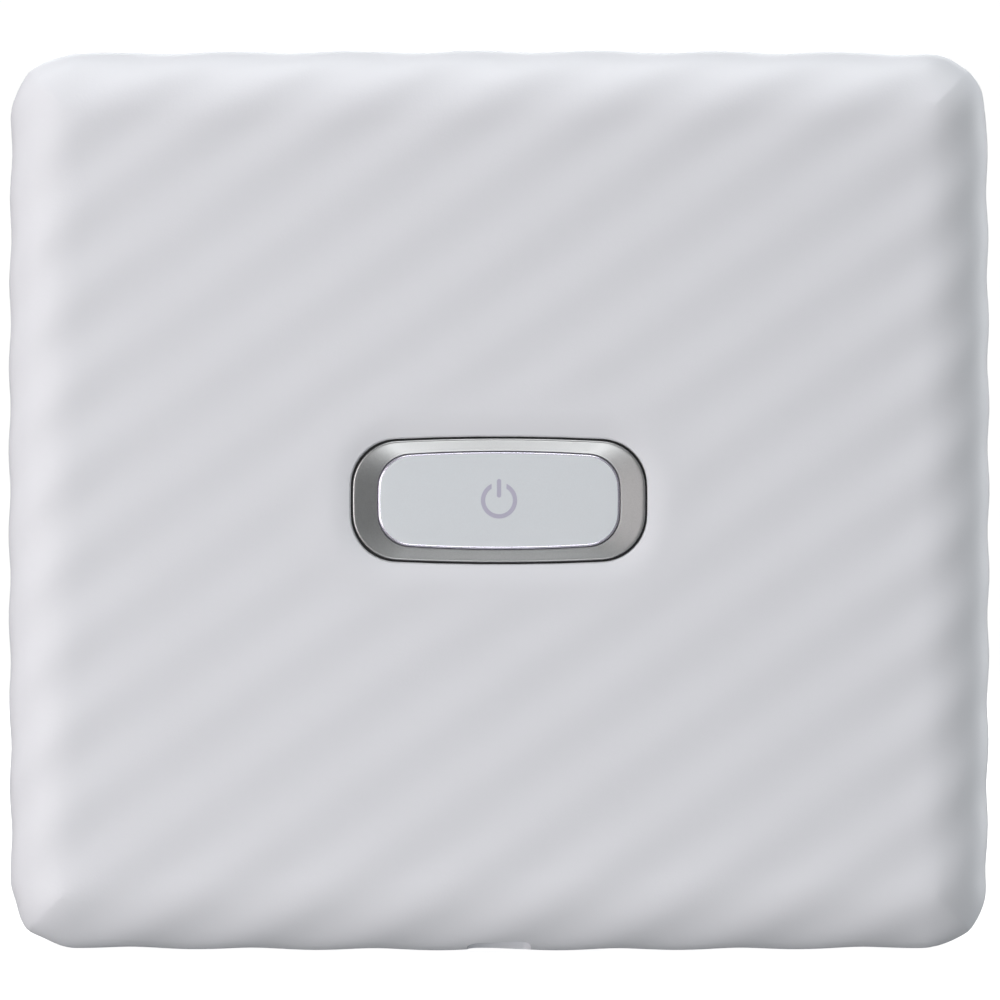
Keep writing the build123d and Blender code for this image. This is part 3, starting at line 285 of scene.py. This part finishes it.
def skin_faces(bm):
    """The CAD faces that lie on the casing's outer surface."""
    _, out, dist = slab(np.array([v.co for v in bm.verts]) / MM)
    outer = np.abs(dist - EDGE_R) < SKIN_SLACK
    found = []
    for face in bm.faces:
        index = [v.index for v in face.verts]
        if outer[index].all() and out[index].mean(0) @ np.array(face.normal) > SKIN_FACING:
            found.append(face)
    return found


def cut_skin(source, name):
    """A CAD cover's mesh with its skin cut fine, and the numbers of the skin's faces and points."""
    bm = bmesh.new()
    bm.from_mesh(source.data)
    bmesh.ops.remove_doubles(bm, verts=bm.verts, dist=WELD)
    bm.normal_update()
    faces = skin_faces(bm)
    for axis, values in cut_planes():
        faces = split(bm, faces, axis, values)
    bm.verts.index_update()
    bm.faces.index_update()
    skin = [f.index for f in faces]
    on_skin = list({v.index for f in faces for v in f.verts})
    mesh = bpy.data.meshes.new(name)
    bm.to_mesh(mesh)
    bm.free()
    return mesh, skin, on_skin


def press_in(mesh, on_skin):
    """Moves a cover's skin, and what lies just below it, inwards. Gives the new surface's directions."""
    points = np.empty(len(mesh.vertices) * 3)
    mesh.vertices.foreach_get("co", points)
    points = points.reshape(-1, 3) / MM
    core, out, dist = slab(points)
    below = EDGE_R - dist
    below[on_skin] = 0.0
    surface = core + out * EDGE_R
    carry = 1 - smooth((below - SKIN) / SKIN_FADE)
    moved = core + out * (EDGE_R - below - depth(surface) * carry)[:, None]
    moved[below > SKIN + SKIN_FADE] = points[below > SKIN + SKIN_FADE]
    mesh.vertices.foreach_set("co", (moved * MM).ravel())
    return surface_normals(surface, out)


def rippled(node, name):
    """A finer copy of a CAD cover with the ripples pressed into its skin."""
    source = frame["nodes"][node]
    mesh, skin, on_skin = cut_skin(source, name)
    finish_mesh(mesh, skin, press_in(mesh, on_skin))
    piece = add_object(name, mesh)
    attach(piece, source["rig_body"])
    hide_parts(node)
    return piece


def finish_mesh(mesh, skin, normals):
    """Smooth shading: exact on the skin, and elsewhere an average that favours large faces."""
    mesh.polygons.foreach_set("use_smooth", [True] * len(mesh.polygons))
    mesh.update()
    mesh.set_sharp_from_angle(angle=SMOOTH_ANGLE)
    corners = np.array([n.vector for n in mesh.corner_normals])
    flat = np.array([p.normal for p in mesh.polygons])
    areas = np.array([p.area for p in mesh.polygons])
    around = [[] for _ in mesh.vertices]
    for polygon in mesh.polygons:
        for vertex in polygon.vertices:
            around[vertex].append(polygon.index)
    skin = set(skin)
    for polygon in mesh.polygons:
        for corner, vertex in zip(polygon.loop_indices, polygon.vertices):
            if polygon.index in skin:
                corners[corner] = normals[vertex]
                continue
            near = np.array(around[vertex])
            near = near[flat[near] @ flat[polygon.index] > math.cos(SMOOTH_ANGLE)]
            if len(near):
                corners[corner] = areas[near] @ flat[near]
    corners /= np.linalg.norm(corners, axis=1)[:, None]
    mesh.normals_split_custom_set([tuple(n) for n in corners])


# ================================================================ power button
def bowed_outline(width, height, corner, bow=BOW, per_side=16, per_corner=12):
    """A rounded rectangle with bulging sides, as points in x and z round the button's centre."""
    x, y = width / 2, height / 2
    long_r = ((x - bow / 2) ** 2 + bow ** 2) / (2 * bow)
    short_r = ((y - bow) ** 2 + (bow / 2) ** 2) / bow
    top, right = np.array([0, y - long_r]), np.array([x - short_r, 0])
    # the corner's arc touches both sides' arcs, so its centre lies where two circles cross
    a, b = long_r - corner, short_r - corner
    gap = right - top
    d = np.linalg.norm(gap)
    along = (a * a - b * b + d * d) / (2 * d)
    off = math.sqrt(a * a - along * along)
    unit = gap / d
    both = [top + unit * along + s * off * np.array([-unit[1], unit[0]]) for s in (-1, 1)]
    centre = max(both, key=sum)
    to_top = math.atan2(*(centre - top)[::-1])
    to_right = math.atan2(*(centre - right)[::-1])
    arcs = (
        (right, short_r, 0.0, to_right, per_side // 2),
        (centre, corner, to_right, to_top, per_corner),
        (top, long_r, to_top, math.pi / 2, per_side),
    )
    quarter = [
        middle + radius * np.array([math.cos(t), math.sin(t)])
        for middle, radius, start, end, count in arcs
        for t in np.linspace(start, end, count, endpoint=False)
    ]
    mirrored = [np.array([-p[0], p[1]]) for p in quarter[:0:-1]]
    half = np.array(quarter + [np.array([0.0, y])] + mirrored)
    return np.concatenate([half, -half])


def shrink(outline, by):
    """An outline moved inwards by an even distance."""
    along = np.roll(outline, -1, axis=0) - np.roll(outline, 1, axis=0)
    along /= np.linalg.norm(along, axis=1)[:, None]
    return outline + by * np.stack([-along[:, 1], along[:, 0]], 1)


def between(a, b, t):
    """The place a share t of the way from a to b."""
    return a * (1 - t) + b * t


def rounded(outline, y, radius, steps=6):
    """Rings that turn a wall at an outline into a face inside it, with a round edge that ends at y."""
    turns = [math.pi / 2 * k / steps for k in range(steps + 1)]
    return [
        (shrink(outline, radius * (1 - math.cos(t))), y + radius * (1 - math.sin(t)))
        for t in turns
    ]


def loft(name, rings, body, capped):
    """A closed solid through rings, each an outline in x and z with its own y, in mm.

    It has a lid on its first and last ring, or else the last ring joins the first.
    """
    count, last = len(rings[0][0]), len(rings) - 1
    verts = [(p[0] * MM, y * MM, (p[1] + MID_Z) * MM) for outline, y in rings for p in outline]
    faces = []
    for r in range(last if capped else last + 1):
        a, b = r * count, (r + 1) % len(rings) * count
        faces += [(a + k, a + (k + 1) % count, b + (k + 1) % count, b + k) for k in range(count)]
    if capped:
        faces += [tuple(range(count)), tuple(range(last * count, (last + 1) * count))]
    bm = bmesh.new()
    made = [bm.verts.new(v) for v in verts]
    for face in faces:
        bm.faces.new([made[k] for k in face])
    bmesh.ops.recalc_face_normals(bm, faces=bm.faces)
    mesh = bpy.data.meshes.new(name)
    bm.to_mesh(mesh)
    bm.free()
    mesh.polygons.foreach_set("use_smooth", [True] * len(mesh.polygons))
    mesh.update()
    mesh.set_sharp_from_angle(angle=LOFT_ANGLE)
    piece = add_object(name, mesh)
    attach(piece, body)
    return piece


def build_bezel(slope_steps=12, lip_steps=4):
    """The ring: a flange behind the cover, a thin round rim, and a slope that falls to the pad."""
    outer = bowed_outline(*BEZEL, BEZEL_R)
    flange = shrink(outer, -RING_FLANGE)
    hole = bowed_outline(PAD[0] + 2 * PAD_GAP, PAD[1] + 2 * PAD_GAP, PAD_R)
    crest, lip = shrink(outer, CREST), shrink(hole, -LIP_R)
    rings = [(flange, RING_BACK_Y), (flange, RING_SEAT_Y), (outer, RING_SEAT_Y)]
    rings += rounded(outer, RIM_Y, RIM_R)
    for k in range(slope_steps + 1):
        t = k / slope_steps
        rings.append((between(crest, lip, t), between(RIM_Y, LOW_Y, t)))
    for k in range(1, lip_steps + 1):
        a = math.pi / 2 * k / lip_steps
        rings.append((shrink(lip, LIP_R * math.sin(a)), LOW_Y + LIP_R * (1 - math.cos(a))))
    rings.append((hole, RING_BACK_Y))
    piece = loft("power_button_ring", rings, "case", capped=False)
    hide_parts("button_bezel")
    return piece


def build_gap_shade():
    """A black strip that fills the gap between the ring and the cover: painted shade that keeps the gap
    dark.
    """
    inner = bowed_outline(*BEZEL, BEZEL_R)
    outer = shrink(inner, -PANEL_GAP)
    rings = [(inner, RING_SEAT_Y), (inner, GAP_SHADE_Y), (outer, GAP_SHADE_Y), (outer, RING_SEAT_Y)]
    return loft("ring_gap_shade", rings, "case", capped=False)


def build_pad(face_steps=12):
    """The pad: a softly crowned face with a rounded edge, on its flange and plunger."""
    outline = bowed_outline(*PAD, PAD_R)
    flange = shrink(outline, -PAD_FLANGE)
    turns = np.arctan2(outline[:, 1], outline[:, 0])
    stem = STEM_R * np.stack([np.cos(turns), np.sin(turns)], 1)
    rings = [(stem, STEM_Y), (stem, PAD_BACK_Y), (flange, PAD_BACK_Y), (flange, PAD_SEAT_Y)]
    rings += [(outline, PAD_SEAT_Y)] + rounded(outline, PAD_Y + PAD_CROWN, PAD_EDGE, steps=9)
    face = shrink(outline, PAD_EDGE)
    for k in range(1, face_steps):
        t = k / face_steps
        rings.append((face * (1 - t), PAD_Y + PAD_CROWN * (1 - t) ** 2))
    piece = loft("power_button_pad", rings, "power_key", capped=True)
    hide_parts("power_button")
    return piece


def paint_pad_edge(pad, material):
    """Gives the pad's rounded edge its lavender finish."""
    pad.data.materials.append(material)
    behind_edge = (PAD_Y + PAD_EDGE + 0.1) * MM
    front, back = -0.985, 0.2         # a face's direction lies between these in Y on the edge
    for polygon in pad.data.polygons:
        if polygon.center.y < behind_edge and front < polygon.normal.y < back:
            polygon.material_index = 1


# ================================================================ coil springs
def build_spring(node, name, joint, axis, fixed, free, travel):
    """A plain copy of a coil spring, on the same body as its CAD node."""
    source = frame["nodes"][node]
    piece = add_object(name, source.data.copy())
    piece.matrix_world = source.matrix_world
    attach(piece, source["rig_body"])
    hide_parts(node)
    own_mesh(piece)
    return piece


# ================================================================ materials
def new_material(name):
    """A material, its node tree and its shader."""
    material = bpy.data.materials.new(name)
    material.use_nodes = True
    tree = material.node_tree
    return material, tree, tree.nodes["Principled BSDF"]


def noise(tree, scale, detail=3.0, stretch=(1, 1, 1)):
    """Noise in the object's own space, in cycles per metre."""
    coordinates = tree.nodes.new("ShaderNodeTexCoord")
    mapping = tree.nodes.new("ShaderNodeMapping")
    mapping.inputs["Scale"].default_value = stretch
    texture = tree.nodes.new("ShaderNodeTexNoise")
    texture.inputs["Scale"].default_value = scale
    texture.inputs["Detail"].default_value = detail
    tree.links.new(coordinates.outputs["Object"], mapping.inputs["Vector"])
    tree.links.new(mapping.outputs["Vector"], texture.inputs["Vector"])
    return texture.outputs["Fac"]


def ramp(tree, value, low, high):
    """Maps noise, which mostly lies between 0.3 and 0.7, to a number between low and high."""
    node = tree.nodes.new("ShaderNodeMapRange")
    node.inputs["From Min"].default_value = 0.3
    node.inputs["From Max"].default_value = 0.7
    node.inputs["To Min"].default_value = low
    node.inputs["To Max"].default_value = high
    tree.links.new(value, node.inputs["Value"])
    return node.outputs["Result"]


def tint(tree, value, one, other):
    """A colour that drifts between two with noise."""
    node = tree.nodes.new("ShaderNodeMix")
    node.data_type = "RGBA"
    node.inputs["A"].default_value = (*one, 1)
    node.inputs["B"].default_value = (*other, 1)
    tree.links.new(ramp(tree, value, 0.0, 1.0), node.inputs["Factor"])
    return node.outputs["Result"]


def bump(tree, shader, value, distance):
    """Raises the surface by up to a distance in metres where a value is high."""
    node = tree.nodes.new("ShaderNodeBump")
    node.inputs["Strength"].default_value = 1.0
    node.inputs["Distance"].default_value = distance
    tree.links.new(value, node.inputs["Height"])
    tree.links.new(node.outputs["Normal"], shader.inputs["Normal"])


def vary_gloss(tree, shader, value, roughness, share):
    """Roughness that drifts with noise by a share each way."""
    drifting = ramp(tree, value, roughness * (1 - share), roughness * (1 + share))
    tree.links.new(drifting, shader.inputs["Roughness"])


def plastic(name, colour, roughness, grain, grain_scale, drift, coat=0.0):
    """Moulded plastic: a fine spark-eroded grain, and colour and gloss that drift slightly."""
    material, tree, shader = new_material(name)
    dark = tuple(c * (1 - drift) for c in colour)
    tree.links.new(tint(tree, noise(tree, 60.0, 2.0), dark, colour), shader.inputs["Base Color"])
    vary_gloss(tree, shader, noise(tree, 220.0), roughness, 0.07)
    shader.inputs["Coat Weight"].default_value = coat
    shader.inputs["Coat Roughness"].default_value = 0.15
    if grain:
        bump(tree, shader, noise(tree, grain_scale, 2.0), grain)
    return material


def metal(name, colour, roughness, brush, grain_scale, grain, anisotropy=0.0):
    """Metal with a fine grain, drawn out along the axes where brush is small beside the others."""
    material, tree, shader = new_material(name)
    shader.inputs["Metallic"].default_value = 1.0
    streaks = noise(tree, grain_scale, 3.0, brush)
    dark = tuple(c * 0.9 for c in colour)
    tree.links.new(tint(tree, streaks, dark, colour), shader.inputs["Base Color"])
    vary_gloss(tree, shader, streaks, roughness, 0.15)
    shader.inputs["Anisotropic"].default_value = anisotropy
    bump(tree, shader, streaks, grain)
    return material


def pearl(name, colour, metallic, roughness):
    """Pearl lacquer: metal flake in a clear coat, its colour and gloss drifting slightly."""
    material, tree, shader = new_material(name)
    dark = tuple(c * 0.97 for c in colour)
    tree.links.new(tint(tree, noise(tree, 6000.0, 2.0), dark, colour), shader.inputs["Base Color"])
    vary_gloss(tree, shader, noise(tree, 900.0), roughness, 0.07)
    shader.inputs["Metallic"].default_value = metallic
    shader.inputs["Coat Weight"].default_value = 0.4
    shader.inputs["Coat Roughness"].default_value = 0.08
    return material


def felt(name, colour):
    """Short felt: rough fibres with a soft sheen."""
    material, tree, shader = new_material(name)
    fibres = noise(tree, 3500.0, 6.0)
    dark = tuple(c * 0.6 for c in colour)
    tree.links.new(tint(tree, fibres, dark, colour), shader.inputs["Base Color"])
    shader.inputs["Roughness"].default_value = 0.95
    shader.inputs["Sheen Weight"].default_value = 0.4
    bump(tree, shader, fibres, 0.0002)
    return material


def clear(name, colour, roughness, ior):
    """Clear or frosted plastic or glass."""
    material, tree, shader = new_material(name)
    shader.inputs["Transmission Weight"].default_value = 0.85
    shader.inputs["IOR"].default_value = ior
    shader.inputs["Base Color"].default_value = (*colour, 1)
    vary_gloss(tree, shader, noise(tree, 900.0), roughness, 0.2)
    return material


def make_materials():
    """One material for each slot of the record, and one for the pad's edge.

    Plastic has a colour, roughness, grain depth in metres, grain scale, colour drift and gloss coat.
    Metal has a colour, roughness, brushing, grain scale, grain depth in metres and anisotropy.
    Pearl has a colour, share of metal and roughness. Clear has a colour, roughness and refraction.
    """
    return {
        "shell_white": plastic("white_shell", (0.80, 0.81, 0.855), 0.52, 0.000012, 3200.0, 0.012),
        "trim_grey": plastic("grey_trim", (0.40, 0.41, 0.44), 0.42, 0.00001, 3000.0, 0.04),
        "bezel_metal": metal("satin_ring", (0.52, 0.52, 0.525), 0.36, (1, 1, 1), 5200.0, 0.000003),
        "pad_pearl": pearl("pearl_pad", (0.89, 0.93, 0.975), 0.22, 0.30),
        "mark_silver": pearl("lavender_inlay", (0.62, 0.60, 0.74), 0.35, 0.40),
        "pad_edge": pearl("lavender_edge", (0.80, 0.77, 0.90), 0.75, 0.25),
        "black_plastic": plastic("black_frame", (0.018, 0.018, 0.02), 0.5, 0.00002, 1800.0, 0.2),
        "switch_black": plastic("black_parts", (0.012, 0.012, 0.013), 0.35, 0.000008, 2600.0, 0.2),
        "connector_cream": plastic("cream_connectors", (0.62, 0.57, 0.45), 0.45, 0.000008, 2600.0, 0.06),
        "felt_black": felt("black_felt", (0.018, 0.018, 0.022)),
        "steel": metal("plated_steel", (0.50, 0.50, 0.51), 0.32, (1, 1, 8), 1200.0, 0.000003, 0.3),
        "screw_steel": metal("dark_screws", (0.20, 0.20, 0.21), 0.36, (1, 1, 1), 2500.0, 0.000004),
        "motor_steel": metal("motor_can", (0.56, 0.56, 0.57), 0.26, (1, 8, 8), 900.0, 0.000002, 0.4),
        "roller_rubber": plastic("roller_rubber", (0.022, 0.022, 0.024), 0.75, 0.00003, 2600.0, 0.15),
        "roller_metal": metal("turned_roller", (0.62, 0.62, 0.64), 0.24, (12, 1, 1), 900.0, 0.000003, 0.4),
        "gear_cream": plastic("acetal_gears", (0.74, 0.71, 0.62), 0.38, 0.000006, 1800.0, 0.04),
        "pinion_brass": metal("brass_pinion", (0.72, 0.52, 0.22), 0.28, (8, 1, 1), 1500.0, 0.000002),
        "bearing_plastic": plastic("bearing_plastic", (0.50, 0.48, 0.43), 0.42, 0.000006, 1800.0, 0.05),
        "disc_black": plastic("encoder_film", (0.014, 0.014, 0.015), 0.22, 0.0, 1800.0, 0.1),
        "board_green": plastic("green_boards", (0.012, 0.11, 0.05), 0.34, 0.00001, 1500.0, 0.25, 0.3),
        "battery_wrap": plastic("battery_wrap", (0.045, 0.07, 0.14), 0.3, 0.00004, 300.0, 0.15, 0.3),
        "lead_red": plastic("red_leads", (0.45, 0.015, 0.012), 0.4, 0.000006, 2500.0, 0.1),
        "ribbon_tan": plastic("ribbon_film", (0.52, 0.30, 0.08), 0.28, 0.000004, 1500.0, 0.1, 0.3),
        "clear_plastic": clear("frosted_guide", (0.90, 0.92, 0.95), 0.35, 1.49),
        "lens_glass": clear("rod_lens", (0.85, 0.90, 0.95), 0.06, 1.52),
        "led_body": plastic("led_body", (0.85, 0.83, 0.70), 0.2, 0.0, 2500.0, 0.03, 0.5),
    }


def paint(piece, material):
    """Gives a piece one material all over."""
    piece.data.materials.clear()
    piece.data.materials.append(material)


# ================================================================ studio
def build_world():
    """Even light from all round."""
    world = bpy.data.worlds.new("studio")
    bpy.context.scene.world = world
    world.use_nodes = True
    background = world.node_tree.nodes["Background"]
    background.inputs["Color"].default_value = (*WORLD_COLOUR, 1)
    background.inputs["Strength"].default_value = WORLD_LEVEL


def add_softbox(name, bearing, height, side, distance, power, colour):
    """A square light that faces the middle of the casing."""
    data = bpy.data.lights.new(name, "AREA")
    data.shape = "SQUARE"
    data.size = side
    data.energy = power
    data.color = colour
    light = add_object(name, data)
    bearing, height = math.radians(bearing), math.radians(height)
    level = math.cos(height)
    way = Vector((math.sin(bearing) * level, -math.cos(bearing) * level, math.sin(height)))
    light.location = Vector((0, 0, MID_Z * MM)) + way * distance
    light.rotation_euler = (-way).to_track_quat("-Z", "Y").to_euler()


def build_backdrop():
    """A white sweep: a floor that curves up into a wall. It throws no light on the object."""
    near, reach, half_width, rise, radius, steps = -3.5, 1.6, 6.0, 3.2, 0.9, 12
    clearance = 0.0002
    profile = [(near, 0.0), (reach, 0.0)]
    for k in range(1, steps + 1):
        a = math.pi / 2 * k / steps
        profile.append((reach + radius * math.sin(a), radius * (1 - math.cos(a))))
    profile.append((reach + radius, rise))
    verts = [(x, y, z - clearance) for y, z in profile for x in (-half_width, half_width)]
    faces = [(2 * k, 2 * k + 1, 2 * k + 3, 2 * k + 2) for k in range(len(profile) - 1)]
    mesh = bpy.data.meshes.new("backdrop")
    mesh.from_pydata(verts, [], faces)
    mesh.polygons.foreach_set("use_smooth", [True] * len(mesh.polygons))
    backdrop = add_object("backdrop", mesh)
    backdrop.visible_shadow = False
    backdrop.visible_diffuse = False
    backdrop.visible_glossy = False
    material, _, shader = new_material("backdrop_white")
    shader.inputs["Base Color"].default_value = (0.55, 0.55, 0.55, 1)
    shader.inputs["Roughness"].default_value = 0.9
    shader.inputs["Specular IOR Level"].default_value = 0.0
    shader.inputs["Emission Color"].default_value = (1, 1, 1, 1)
    shader.inputs["Emission Strength"].default_value = BACKDROP_GLOW
    paint(backdrop, material)


def build_camera():
    """A long lens, level with the middle of the front."""
    data = bpy.data.cameras.new("camera")
    data.lens = LENS
    data.sensor_width = SENSOR
    camera = add_object("camera", data)
    distance = WIDTH / FILL / SENSOR * LENS
    camera.location = (CAMERA_X * MM, -(CORE_Y + distance) * MM, CAMERA_Z * MM)
    camera.rotation_euler = (math.pi / 2, 0, 0)
    data.clip_start, data.clip_end = 0.05, 20
    bpy.context.scene.camera = camera


def build_studio():
    """World, backdrop, lights, camera and how the picture is shown."""
    build_world()
    build_backdrop()
    for softbox in SOFTBOXES:
        add_softbox(*softbox)
    build_camera()
    settings = bpy.context.scene.view_settings
    settings.view_transform = "Standard"
    settings.look = "None"
    settings.exposure = 0.0


# ================================================================ put together
def main():
    """Builds every piece, paints it and sets up the studio."""
    materials = make_materials()
    slot_of = {part["node"]: part["material_slot"] for part in frame["record"]["subparts"]}
    replaced = {
        "front_cover": rippled("front_cover", "front_shell"),
        "rear_cover": rippled("rear_cover", "rear_shell"),
        "film_door": rippled("film_door", "back_door"),
        "button_bezel": build_bezel(),
        "power_button": build_pad(),
    }
    for spring in SPRINGS:
        replaced[spring[0]] = build_spring(*spring)
    # a black strip set in the ring's gap: painted shade that darkens the gap
    gap_shade = build_gap_shade()
    paint(gap_shade, materials["black_plastic"])
    for node, piece in replaced.items():
        paint(piece, materials[slot_of[node]])
    paint_pad_edge(replaced["power_button"], materials["pad_edge"])
    for node, piece in frame["nodes"].items():
        if node not in replaced:
            paint(piece, materials[slot_of[node]])
    build_studio()


main()
bpy.context.view_layer.update()
